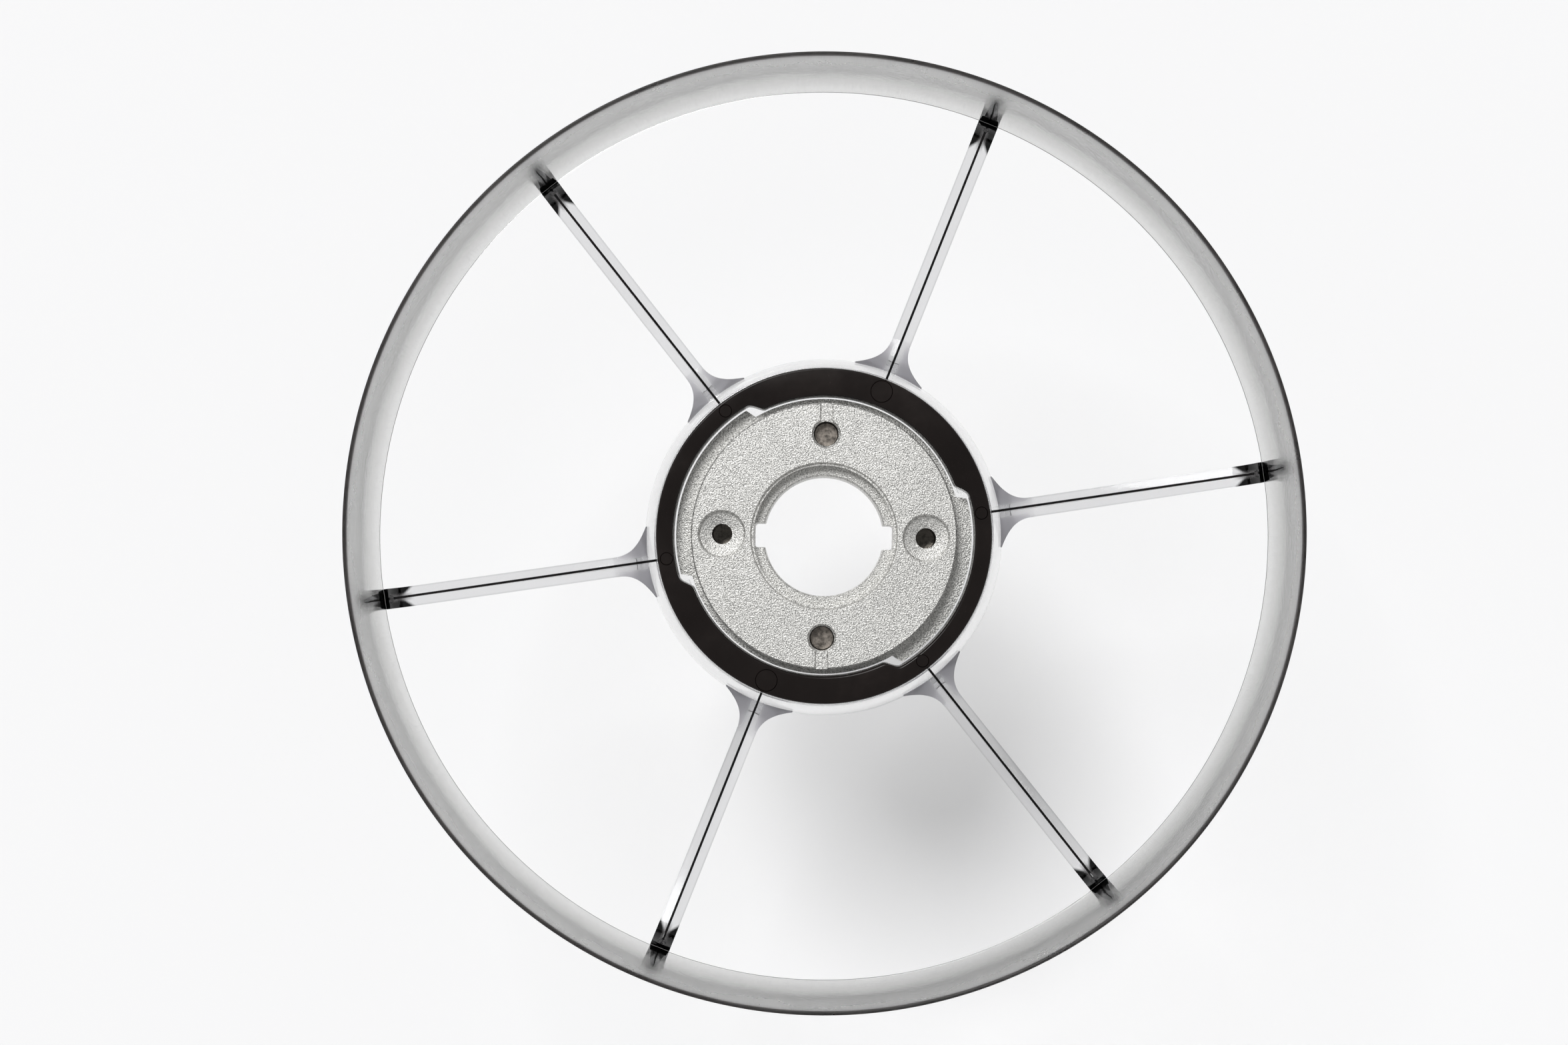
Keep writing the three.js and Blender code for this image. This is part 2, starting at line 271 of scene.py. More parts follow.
def rim_colour(nt, along, across, height):
    """Axial moulding streaks, with painted shade: darker half-way up the wall, and a dark painted line
    along the front edge.
    """
    place_at = nt.nodes.new("ShaderNodeCombineXYZ")
    nt.links.new(math_node(nt, "MULTIPLY", along, 2.2), place_at.inputs["X"])
    nt.links.new(math_node(nt, "MULTIPLY", height, 0.09), place_at.inputs["Y"])
    streaks = node(nt, "ShaderNodeTexNoise", Scale=1.0, Detail=4.0, Roughness=0.7)
    nt.links.new(place_at.outputs["Vector"], streaks.inputs["Vector"])
    streak_stops = [(0.30, grey(0.86)), (0.52, grey(0.97)), (0.70, grey(1.0))]
    streak = ramp(nt, streaks.outputs["Fac"], streak_stops)
    level = node(nt, "ShaderNodeMapRange")
    level.inputs["From Min"].default_value = RIM_LOW_Z
    level.inputs["From Max"].default_value = RIM_HIGH_Z
    nt.links.new(height, level.inputs["Value"])
    # Painted shade by height: darker half-way up the wall, and a near-black painted line along the
    # front edge.
    painted_shade_band = ramp(
        nt,
        level.outputs["Result"],
        [
            (0.0, (0.92, 0.92, 0.915, 1)),
            (0.12, (0.88, 0.88, 0.875, 1)),
            (0.30, (0.74, 0.74, 0.735, 1)),
            (0.45, (0.665, 0.665, 0.66, 1)),
            (0.60, (0.80, 0.80, 0.795, 1)),
            (0.72, (1.0, 1.0, 0.995, 1)),
            (0.90, (1.0, 1.0, 0.995, 1)),
            (0.95, (0.84, 0.83, 0.83, 1)),
            (0.975, (0.70, 0.68, 0.69, 1)),
            (0.988, (0.16, 0.14, 0.145, 1)),
        ],
    )
    tone = nt.nodes.new("ShaderNodeMix")
    tone.data_type = "RGBA"
    tone.blend_type = "MULTIPLY"
    tone.inputs["Factor"].default_value = 1.0
    nt.links.new(painted_shade_band.outputs["Color"], tone.inputs["A"])
    nt.links.new(streak.outputs["Color"], tone.inputs["B"])
    rough = math_node(nt, "MULTIPLY", step_up(nt, height, RIM_LOW_Z + 10, RIM_HIGH_Z), 0.22)
    return tone.outputs["Result"], rough, None


def spoke_colour(nt, along, across, height):
    """Clear arm, hazy root with grey-violet painted shade, dark painted lines along the flange edges
    and the web's top edge, and a near-black painted shade at the end where the flange turns up.

    Height, along and across are in millimetres.
    """
    side = math_node(nt, "ABSOLUTE", across)
    clear = (0.90, 0.90, 0.905, 1)
    # Painted shade: a darker line along each side edge of the flange.
    flange_edge_shade = step_up(nt, side, 3.0, 3.8)
    colour = mixed(nt, math_node(nt, "MULTIPLY", flange_edge_shade, 0.3), clear, (0.45, 0.45, 0.46, 1))
    # Painted shade: grey-violet in the root's hollow curves, away from the web; the same mask also adds
    # roughness.
    root = math_node(nt, "MULTIPLY", step_up(nt, along, 86.0, 79.0), step_up(nt, side, 1.2, 3.6))
    colour = mixed(nt, root, colour, (0.70, 0.69, 0.72, 1))
    # Painted shade: near-black where the flange turns up at the end, grey along its middle.
    start = math_node(nt, "ADD", along, math_node(nt, "MULTIPLY", side, 1.1))
    end = step_up(nt, start, 165.0, 167.2)
    colour = mixed(nt, end, colour, (0.0004, 0.0003, 0.0003, 1))
    centre = math_node(nt, "MULTIPLY", step_up(nt, side, 1.9, 0.5), step_up(nt, along, 161.0, 165.0))
    colour = mixed(nt, math_node(nt, "MULTIPLY", centre, 0.7), colour, (0.12, 0.115, 0.115, 1))
    # Painted shade: a near-black line along the web's top edge.
    web_top_shade = step_up(nt, height, FACE_Z - 0.5, FACE_Z - 0.2)
    top = math_node(nt, "MULTIPLY", web_top_shade, step_up(nt, side, 0.75, 0.55))
    top = math_node(nt, "MULTIPLY", top, step_up(nt, along, 168.5, 167.0))
    colour = mixed(nt, top, colour, (0.0003, 0.0002, 0.0002, 1))
    return colour, math_node(nt, "MULTIPLY", root, 0.42), None


def strap_colour(nt, along, across, height):
    """Painted shade: dark where the spoke's end lies against it, fading up the rim wall and towards its
    sides.
    """
    side = math_node(nt, "ABSOLUTE", across)
    level = node(nt, "ShaderNodeMapRange")
    level.inputs["From Min"].default_value = RIM_LOW_Z
    level.inputs["From Max"].default_value = RIM_HIGH_Z
    nt.links.new(height, level.inputs["Value"])
    # Painted shade by height: near-black at the foot, lighter up the rim wall; the alpha fades it
    # towards the sides and the top.
    painted_shade_band = ramp(
        nt,
        level.outputs["Result"],
        [
            (0.0, (0.0005, 0.0004, 0.0004, 1)),
            (0.34, (0.002, 0.0018, 0.0018, 1)),
            (0.46, (0.05, 0.049, 0.049, 1)),
            (0.60, (0.20, 0.20, 0.20, 1)),
            (0.74, (0.38, 0.38, 0.38, 1)),
        ],
    )
    rise = step_up(nt, height, RIM_LOW_Z + 12, RIM_LOW_Z + 24)
    wings = math_node(nt, "MULTIPLY", step_up(nt, side, 0.2, 3.2), rise)
    kept = math_node(nt, "SUBTRACT", 1.0, wings)
    alpha = math_node(nt, "MULTIPLY", kept, step_up(nt, height, RIM_LOW_Z + 36, RIM_LOW_Z + 28))
    return painted_shade_band.outputs["Color"], 0.0, alpha


def hub_colour(nt, along, across, height):
    """A little deeper in tone at the open end behind, nearly clear at the ring."""
    rise = step_up(nt, height, 0.0, 27.0)
    colour = mixed(nt, rise, (0.97, 0.97, 0.972, 1), (0.995, 0.995, 0.995, 1))
    return colour, 0.08, None


def gloss_black_material():
    """Thick smoke plastic seen end on: deep warm black, glossy, with fine circular scuffs and dust."""
    mat, nt, out = new_material("black_gloss_plastic")
    coords = node(nt, "ShaderNodeTexCoord")
    p = nt.nodes.new("ShaderNodeBsdfPrincipled")
    broad = node(nt, "ShaderNodeTexNoise", Scale=26.0, Detail=5.0, Roughness=0.65)
    nt.links.new(coords.outputs["Object"], broad.inputs["Vector"])
    tone = ramp(
        nt,
        broad.outputs["Fac"],
        [
            (0.3, (0.0065, 0.0045, 0.0040, 1)),
            (0.55, (0.009, 0.0065, 0.0058, 1)),
            (0.8, (0.017, 0.0125, 0.011, 1)),
        ],
    )
    specks = node(nt, "ShaderNodeTexVoronoi", Scale=900.0)
    nt.links.new(coords.outputs["Object"], specks.inputs["Vector"])
    dust = ramp(nt, specks.outputs["Distance"], [(0.03, grey(1)), (0.07, grey(0))])
    thin = node(nt, "ShaderNodeTexNoise", Scale=140.0, Detail=2.0)
    nt.links.new(coords.outputs["Object"], thin.inputs["Vector"])
    gate = ramp(nt, thin.outputs["Fac"], [(0.60, grey(0)), (0.68, grey(1))])
    both = node(nt, "ShaderNodeMath", operation="MULTIPLY")
    nt.links.new(dust.outputs["Color"], both.inputs[0])
    nt.links.new(gate.outputs["Color"], both.inputs[1])
    mix = node(nt, "ShaderNodeMix", data_type="RGBA")
    nt.links.new(both.outputs[0], mix.inputs["Factor"])
    nt.links.new(tone.outputs["Color"], mix.inputs["A"])
    mix.inputs["B"].default_value = (0.10, 0.09, 0.085, 1)
    nt.links.new(mix.outputs["Result"], p.inputs["Base Color"])
    rough = node(nt, "ShaderNodeMapRange")
    rough.inputs["From Min"].default_value = 0.3
    rough.inputs["From Max"].default_value = 0.75
    rough.inputs["To Min"].default_value = 0.10
    rough.inputs["To Max"].default_value = 0.30
    nt.links.new(broad.outputs["Fac"], rough.inputs["Value"])
    nt.links.new(rough.outputs["Result"], p.inputs["Roughness"])
    p.inputs["IOR"].default_value = 1.5
    p.inputs["Specular IOR Level"].default_value = 0.22
    fine = node(nt, "ShaderNodeTexNoise", Scale=700.0, Detail=4.0, Roughness=0.6)
    nt.links.new(coords.outputs["Object"], fine.inputs["Vector"])
    bump = node(nt, "ShaderNodeBump", Strength=0.12, Distance=0.0002)
    nt.links.new(fine.outputs["Fac"], bump.inputs["Height"])
    nt.links.new(bump.outputs["Normal"], p.inputs["Normal"])
    nt.links.new(p.outputs["BSDF"], out.inputs["Surface"])
    return mat


GRAIN_SPREAD = 0.5


def cast_material(name, base, roughness, grain, strength):
    """Bead-blasted die casting: a fine bright grain over a satin warm grey."""
    mat, nt, out = new_material(name)
    coords = node(nt, "ShaderNodeTexCoord")
    p = nt.nodes.new("ShaderNodeBsdfPrincipled")
    p.inputs["Metallic"].default_value = 1.0
    fine = node(nt, "ShaderNodeTexNoise", Scale=grain, Detail=2.0, Roughness=0.55)
    nt.links.new(coords.outputs["Object"], fine.inputs["Vector"])
    broad = node(nt, "ShaderNodeTexNoise", Scale=38.0, Detail=3.0, Roughness=0.5)
    nt.links.new(coords.outputs["Object"], broad.inputs["Vector"])
    low = tuple(c * (1 - GRAIN_SPREAD) for c in base) + (1,)
    high = tuple(min(c * (1 + GRAIN_SPREAD), 0.98) for c in base) + (1,)
    tone = ramp(nt, fine.outputs["Fac"], [(0.32, low), (0.5, tuple(base) + (1,)), (0.68, high)])
    shade = node(nt, "ShaderNodeMapRange")
    shade.inputs["From Min"].default_value = 0.3
    shade.inputs["From Max"].default_value = 0.7
    shade.inputs["To Min"].default_value = 0.93
    shade.inputs["To Max"].default_value = 1.0
    nt.links.new(broad.outputs["Fac"], shade.inputs["Value"])
    mix = node(nt, "ShaderNodeMix", data_type="RGBA", blend_type="MULTIPLY")
    mix.inputs["Factor"].default_value = 1.0
    nt.links.new(tone.outputs["Color"], mix.inputs["A"])
    nt.links.new(shade.outputs["Result"], mix.inputs["B"])
    nt.links.new(mix.outputs["Result"], p.inputs["Base Color"])
    rough = node(nt, "ShaderNodeMapRange")
    rough.inputs["From Min"].default_value = 0.3
    rough.inputs["From Max"].default_value = 0.7
    rough.inputs["To Min"].default_value = roughness - 0.08
    rough.inputs["To Max"].default_value = roughness + 0.08
    nt.links.new(fine.outputs["Fac"], rough.inputs["Value"])
    nt.links.new(rough.outputs["Result"], p.inputs["Roughness"])
    bump = node(nt, "ShaderNodeBump", Strength=strength, Distance=0.0004)
    nt.links.new(fine.outputs["Fac"], bump.inputs["Height"])
    nt.links.new(bump.outputs["Normal"], p.inputs["Normal"])
    nt.links.new(p.outputs["BSDF"], out.inputs["Surface"])
    return mat


SMOKE = smoke_material("smoke_clear_rim", (0.94, 0.94, 0.938, 1), rim_colour, 0.05, 0.93)
SMOKE_SPOKE = smoke_material("smoke_clear_spoke", (0.93, 0.93, 0.932, 1), spoke_colour, 0.03, 0.8)
SMOKE_STRAP = smoke_material("smoke_clear_strap", (0.95, 0.95, 0.95, 1), strap_colour, 0.02, 0.9)
SMOKE_HUB = smoke_material("smoke_clear_hub", (0.986, 0.986, 0.986, 1), hub_colour, 0.05, 0.55)
BLACK = gloss_black_material()
CAST = cast_material("die_cast_satin", (0.61, 0.605, 0.585), 0.44, 1900.0, 1.0)
# Painted shade: a near-black cast finish for the walls deep inside the drilled holes.
HOLE_PAINTED_SHADE_CAST = cast_material("drilled_wall_painted_shade", (0.10, 0.092, 0.08), 0.30, 900.0, 0.2)
TAUPE = cast_material("taupe_disc", (0.24, 0.215, 0.19), 0.42, 700.0, 0.12)


# ------------------------------------------------------------------ mesh helpers
def finish_mesh(name, verts, faces, smooth=True):
    mesh = bpy.data.meshes.new(name)
    mesh.from_pydata([tuple(c * MM for c in v) for v in verts], [], faces)
    mesh.validate()
    bm = bmesh.new()
    bm.from_mesh(mesh)
    bmesh.ops.recalc_face_normals(bm, faces=bm.faces)
    bm.to_mesh(mesh)
    bm.free()
    for poly in mesh.polygons:
        poly.use_smooth = smooth
    ob = bpy.data.objects.new(name, mesh)
    bpy.context.scene.collection.objects.link(ob)
    return ob


def ring_mesh(name, section_at, segments):
    """A closed ring of a closed section, which may change with the angle (radians)."""
    verts, faces = [], []
    count = len(section_at(0.0))
    for i in range(segments):
        angle = 2 * math.pi * i / segments
        for r, z in section_at(angle):
            verts.append((r * math.cos(angle), r * math.sin(angle), z))
    for i in range(segments):
        nxt = (i + 1) % segments
        for j in range(count):
            k = (j + 1) % count
            faces.append((i * count + j, nxt * count + j, nxt * count + k, i * count + k))
    return finish_mesh(name, verts, faces)


def turned_mesh(name, profile, segments):
    """A solid of revolution about Z whose profile starts and ends on the axis."""
    verts, faces = [], []
    inner = profile[1:-1]
    for i in range(segments):
        angle = 2 * math.pi * i / segments
        for r, z in inner:
            verts.append((r * math.cos(angle), r * math.sin(angle), z))
    low = len(verts)
    verts.append((0, 0, profile[0][1]))
    verts.append((0, 0, profile[-1][1]))
    n = len(inner)
    for i in range(segments):
        nxt = (i + 1) % segments
        for j in range(n - 1):
            faces.append((i * n + j, nxt * n + j, nxt * n + j + 1, i * n + j + 1))
        faces.append((low, nxt * n, i * n))
        faces.append((low + 1, i * n + n - 1, nxt * n + n - 1))
    return finish_mesh(name, verts, faces)


def rounded(points, radius, steps):
    """The outline with each corner rounded, by a radius or one radius per corner."""
    n = len(points)
    out = []
    for i, point in enumerate(points):
        size = radius[i] if isinstance(radius, (list, tuple)) else radius
        if size <= 0:
            out.append(tuple(point))
            continue
        here = Vector(point)
        a = Vector(points[i - 1]) - here
        b = Vector(points[(i + 1) % n]) - here
        cut = min(size, a.length * 0.45, b.length * 0.45)
        start = here + a.normalized() * cut
        end = here + b.normalized() * cut
        for k in range(steps + 1):
            t = k / steps
            out.append(tuple((1 - t) ** 2 * start + 2 * t * (1 - t) * here + t * t * end))
    return out


def prism_faces(n):
    """Two ends and n sides, for two like outlines of n points, one after the other."""
    faces = [tuple(range(n - 1, -1, -1)), tuple(range(n, 2 * n))]
    for i in range(n):
        k = (i + 1) % n
        faces.append((i, k, n + k, n + i))
    return faces


def prism_mesh(name, outline, low, high):
    verts = [(x, y, low) for x, y in outline] + [(x, y, high) for x, y in outline]
    return finish_mesh(name, verts, prism_faces(len(outline)), smooth=False)


def groove_mesh(start, end, top):
    """A cutter along X for a flat-bottomed slot with broken edges."""
    half = GROOVE_HALF_WIDTH
    side = [
        (half, top - GROOVE_DEPTH),
        (half, top - GROOVE_EDGE),
        (half + GROOVE_EDGE, top),
        (half + GROOVE_EDGE, top + 3),
    ]
    section = side + [(-y, z) for y, z in reversed(side)]
    verts = [(start, y, z) for y, z in section] + [(end, y, z) for y, z in section]
    return finish_mesh("groove", verts, prism_faces(len(section)), smooth=False)


def upright_mesh(name, outline, thick):
    """An outline in the XZ plane, thickened along Y to both sides."""
    half = thick / 2
    verts = [(r, -half, z) for r, z in outline] + [(r, half, z) for r, z in outline]
    n = len(outline)
    faces = [tuple(range(n)), tuple(range(2 * n - 1, n - 1, -1))]
    for i in range(n):
        k = (i + 1) % n
        faces.append((i, n + i, n + k, k))
    return finish_mesh(name, verts, faces, smooth=False)


def apply_modifiers(ob):
    deps = bpy.context.evaluated_depsgraph_get()
    mesh = bpy.data.meshes.new_from_object(ob.evaluated_get(deps))
    old = ob.data
    ob.modifiers.clear()
    ob.data = mesh
    bpy.data.meshes.remove(old)


def combine(target, other, operation):
    mod = target.modifiers.new("cut", "BOOLEAN")
    mod.operation = operation
    mod.solver = "EXACT"
    mod.object = other
    apply_modifiers(target)
    bpy.data.objects.remove(other)


def soften(ob, width, segments, limit):
    """Edges over limit degrees rounded by width, then smooth shading held flat on the flats."""
    bevel = ob.modifiers.new("edges", "BEVEL")
    bevel.width = width * MM
    bevel.segments = segments
    bevel.limit_method = "ANGLE"
    bevel.angle_limit = math.radians(limit)
    bevel.harden_normals = False
    bevel.use_clamp_overlap = True
    apply_modifiers(ob)
    for poly in ob.data.polygons:
        poly.use_smooth = True
    ob.data.set_sharp_from_angle(angle=math.radians(28))


def lay(ob):
    """A UV map of millimetres along X and across Y, taken before the piece is turned into place."""
    layer = ob.data.uv_layers.new(name="laid")
    for loop in ob.data.loops:
        at = ob.data.vertices[loop.vertex_index].co / MM
        layer.data[loop.index].uv = (at.x / LAID_MM, at.y / LAID_MM + 0.5)


def lay_round(ob):
    """A UV map of millimetres round the rim, with no jump inside a face."""
    layer = ob.data.uv_layers.new(name="laid")
    for poly in ob.data.polygons:
        centre = math.atan2(poly.center.y, poly.center.x) % (2 * math.pi)
        for loop in poly.loop_indices:
            at = ob.data.vertices[ob.data.loops[loop].vertex_index].co
            angle = math.atan2(at.y, at.x) % (2 * math.pi)
            if angle - centre > math.pi:
                angle -= 2 * math.pi
            elif centre - angle > math.pi:
                angle += 2 * math.pi
            layer.data[loop].uv = (angle * RIM_INNER_R / LAID_MM, 0.5)


def turn_mesh(ob, degrees, shift=(0, 0, 0)):
    ob.data.transform(Matrix.Translation(Vector(shift) * MM))
    ob.data.transform(Matrix.Rotation(math.radians(degrees), 4, "Z"))


def place(ob, body, slot, material, *nodes):
    """Gives a piece its material and its body, and lets it stand for its CAD nodes."""
    ob.data.materials.clear()
    ob.data.materials.append(material)
    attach(ob, body)
    if nodes:
        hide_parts(*nodes)


def lobe(angle, centre, span, step):
    """1 in two opposite arcs of span degrees, 0 between them, rising over step degrees."""
    half = math.radians(span) / 2
    away = abs(math.atan2(math.sin(2 * (angle - centre)), math.cos(2 * (angle - centre)))) / 2
    t = min(max((half + math.radians(step) / 2 - away) / math.radians(step), 0.0), 1.0)
    return t * t * (3 - 2 * t)


# ------------------------------------------------------------------ rim
rim_profile = [
    (RIM_INNER_R, RIM_LOW_Z + 0.5),
    (RIM_INNER_R + 0.4, RIM_LOW_Z),
    (RIM_OUTER_R - 0.9, RIM_LOW_Z),
    (RIM_OUTER_R - 0.5, RIM_LOW_Z + 0.5),
    (RIM_OUTER_R, RIM_HIGH_Z - 2),
    (RIM_OUTER_R - 0.1, RIM_HIGH_Z),
    (RIM_OUTER_R - 1.1, RIM_HIGH_Z),
    (RIM_INNER_R + 1.5, RIM_HIGH_Z - 1),
    (RIM_INNER_R + 1.0, RIM_LOW_Z + 34),
    (RIM_INNER_R + 0.3, RIM_LOW_Z + 22),
]
rim_section = rounded(rim_profile, [0.25, 0.25, 0.3, 0.3, 1.0, 0.12, 0.25, 0.8, 5.0, 5.0], 5)
rim = ring_mesh("rim_band", lambda angle: rim_section, 360)
lay_round(rim)
place(rim, "wheel", "smoke_clear", SMOKE, "rim_hoop")

# ------------------------------------------------------------------ hub shell
shell_outer = [(71.6, 0), (71.8, 3), (71.2, 10), (70.2, 16), (68.9, 21), (67.3, 25)]
shell_outer.append((66.2, RING_LOW_Z - GAP))
shell_inner = [
    (LEDGE_OUTER_R, RING_LOW_Z - GAP),
    (LEDGE_OUTER_R, LEDGE_Z),
    (LEDGE_INNER_R, LEDGE_Z),
    (LEDGE_INNER_R, LEDGE_Z - 3.6),
    (63.5, 17),
    (66.8, 12),
]
shell_profile = [(SHELL_OPEN_R, 0)] + shell_outer + shell_inner
shell_radii = [0.5, 0.6, 2, 4, 4, 3, 2, 0.5, 0.5, 0.5, 0.6, 0.6, 3, 4]
shell_section = rounded(shell_profile, shell_radii, 4)
shell = ring_mesh("hub_tube", lambda angle: shell_section, 240)
for side in (0, 180):
    start = LUG_CENTRE + LUG_SPAN / 2 + STOP_CLEARANCE + side
    points = []
    for r, sweep in ((STOP_INNER_R, range(0, 9)), (STOP_OUTER_R, range(8, -1, -1))):
        for i in sweep:
            a = math.radians(start + STOP_SPAN * i / 8)
            points.append((r * math.cos(a), r * math.sin(a)))
    combine(shell, prism_mesh("stop", points, LEDGE_Z - 0.5, RING_LOW_Z - GAP), "UNION")
for poly in shell.data.polygons:
    poly.use_smooth = True
shell.data.set_sharp_from_angle(angle=math.radians(40))
lay(shell)
place(shell, "wheel", "smoke_clear", SMOKE_HUB, "hub_shell")


# ------------------------------------------------------------------ hub ring and its pins
def ring_section(angle):
    """The ring's section, whose inner radius is larger in the two lobes."""
    wide = lobe(angle, math.radians(LUG_CENTRE), LOBE_SPAN, LOBE_STEP)
    inner = RING_NARROW_R + (RING_WIDE_R - RING_NARROW_R) * wide
    profile = [
        (inner, RING_LOW_Z),
        (RING_OUTER_R, RING_LOW_Z),
        (RING_OUTER_R, FACE_Z - 0.5),
        (RING_OUTER_R - 0.5, FACE_Z),
        (inner + 0.9, FACE_Z),
        (inner + 0.35, FACE_Z - 0.5),
    ]
    return rounded(profile, [0.2, 0.2, 0.25, 0.25, 0.3, 0.3], 3)


ring = ring_mesh("hub_ring_face", ring_section, 480)
for i in range(SPOKE_COUNT):
    angle = SPOKE_TURN + 360 / SPOKE_COUNT * i
    large = i % 3 == 1
    radius = LARGE_PIN_R if large else SMALL_PIN_R
    pitch = LARGE_PIN_PITCH_R if large else SMALL_PIN_PITCH_R
    hole_r = radius + GAP * 0.4
    profile = [(0, FACE_Z - 5), (hole_r, FACE_Z - 5), (hole_r, FACE_Z + 2), (0, FACE_Z + 2)]
    hole = turned_mesh("hole", profile, 64)
    turn_mesh(hole, angle, (pitch, 0, 0))
    combine(ring, hole, "DIFFERENCE")
    z = FACE_Z - 0.1
    low = z - PIN_DEPTH
    profile = [(0, low), (radius, low), (radius, z - 0.2), (radius - 0.2, z), (0, z + 0.02)]
    pin = turned_mesh(f"pin_{i + 1}", profile, 64)
    turn_mesh(pin, angle, (pitch, 0, 0))
    pin.data.set_sharp_from_angle(angle=math.radians(35))
    place(pin, "wheel", "black_gloss", BLACK, f"root_pin_{i + 1}")
for poly in ring.data.polygons:
    poly.use_smooth = True
ring.data.set_sharp_from_angle(angle=math.radians(32))
place(ring, "wheel", "black_gloss", BLACK, "hub_ring")

# ------------------------------------------------------------------ spokes
# The middle of the flange, as radius and height: straight, then curving up to the strap.
FLANGE_IN = (60.0, 8.0)
FLANGE_OUT = (160.5, 26.6)
CURVE_CORNER = (167.6, 28.4)
CURVE_END = (169.4, 37.5)


def flange_line(steps):
    """Points along the middle of the flange, with the curve in the given number of steps."""
    points = [FLANGE_IN, FLANGE_OUT]
    for i in range(1, steps + 1):
        t = i / steps
        points.append(
            tuple(
                (1 - t) ** 2 * a + 2 * t * (1 - t) * b + t * t * c
                for a, b, c in zip(FLANGE_OUT, CURVE_CORNER, CURVE_END)
            )
        )
    return points


def flange_outline(steps):
    """The flange seen from its side, at its full thickness."""
    line = flange_line(steps)
    top, bottom = [], []
    for i, (r, z) in enumerate(line):
        before = line[max(i - 1, 0)]
        after = line[min(i + 1, len(line) - 1)]
        dr, dz = after[0] - before[0], after[1] - before[1]
        size = math.hypot(dr, dz)
        half = FLANGE_THICK / 2
        top.append((r - dz / size * half, z + dr / size * half))
        bottom.append((r + dz / size * half, z - dr / size * half))
    return bottom + top[::-1]


def root_mesh():
    """The flange opening out in two hollow curves where it meets the hub."""
    side = []
    for i in range(17):
        t = i / 16
        side.append((84 - 15 * t, FLANGE_HALF_WIDTH + 10.2 * t**2.6))
    side.append((60, side[-1][1]))
    other = [(r, -y) for r, y in side][::-1]
    prism = prism_mesh("root", other + side, 0, 30)
    slope = [(58, 3.4), (72, 8), (88, 12.4), (88, 13.4), (76, 15), (70, 18), (58, 23)]
    slope = rounded(slope, [0, 4, 0, 0, 4, 4, 0], 4)
    combine(prism, upright_mesh("slope", slope, 40), "INTERSECT")
    return prism


def spoke_mesh():
    """Flange, upright web and root, cut clear of the shell and the ring."""
    body = upright_mesh("spoke", flange_outline(16), 2 * FLANGE_HALF_WIDTH)
    web_top = [(168.6, 38.2), (167.4, 35.2), (165.2, 34.2), (163, FACE_Z), (62, FACE_Z)]
    web_outline = [(62, 9)] + flange_line(16)[1:] + web_top
    combine(body, upright_mesh("web", web_outline, WEB_THICK), "UNION")
    combine(body, root_mesh(), "UNION")
    room = [(0, -5), (shell_outer[0][0] + GAP, -5)] + [(r + GAP, z) for r, z in shell_outer[1:]]
    ring_room_r = RING_OUTER_R + GAP + 0.1
    room += [(ring_room_r, 28), (ring_room_r, 54), (0, 54)]
    combine(body, turned_mesh("room", room, 240), "DIFFERENCE")
    soften(body, 0.18, 2, 40)
    lay(body)
    return body


def copies_round(first):
    """The mesh's object and copies of it, one turned to each spoke, in order."""
    pieces = []
    for i in range(SPOKE_COUNT):
        last = i == SPOKE_COUNT - 1
        piece = first if last else bpy.data.objects.new(first.name, first.data.copy())
        if not last:
            bpy.context.scene.collection.objects.link(piece)
        turn_mesh(piece, SPOKE_TURN + 360 / SPOKE_COUNT * i)
        pieces.append(piece)
    return pieces


for number, piece in enumerate(copies_round(spoke_mesh()), 1):
    piece.name = f"spoke_arm_{number}"
    place(piece, "wheel", "smoke_clear", SMOKE_SPOKE, f"spoke_{number}")


def strap_mesh():
    """The upright strap that joins a spoke's end to the rim's inner face."""
    outer = RIM_INNER_R - 0.42
    inner = CURVE_END[0] + FLANGE_THICK / 2 + TOUCH_GAP
    outline = [
        (inner + 0.25, RIM_LOW_Z - 2.4),
        (outer, RIM_LOW_Z - 2.4),
        (outer, RIM_LOW_Z + 2),
        (outer + 0.2, RIM_LOW_Z + 22),
        (outer + 0.85, RIM_LOW_Z + 35),
        (outer + 0.5, RIM_LOW_Z + 36),
        (outer - 0.5, RIM_LOW_Z + 22),
        (outer - 0.7, RIM_LOW_Z + 15),
        (inner, RIM_LOW_Z + 8),
    ]
    body = upright_mesh("strap", outline, 2 * FLANGE_HALF_WIDTH)
    soften(body, 0.15, 2, 35)
    lay(body)
    return body


for number, piece in enumerate(copies_round(strap_mesh()), 1):
    piece.name = f"spoke_strap_{number}"
    place(piece, "wheel", "smoke_clear", SMOKE_STRAP, f"rim_strap_{number}")


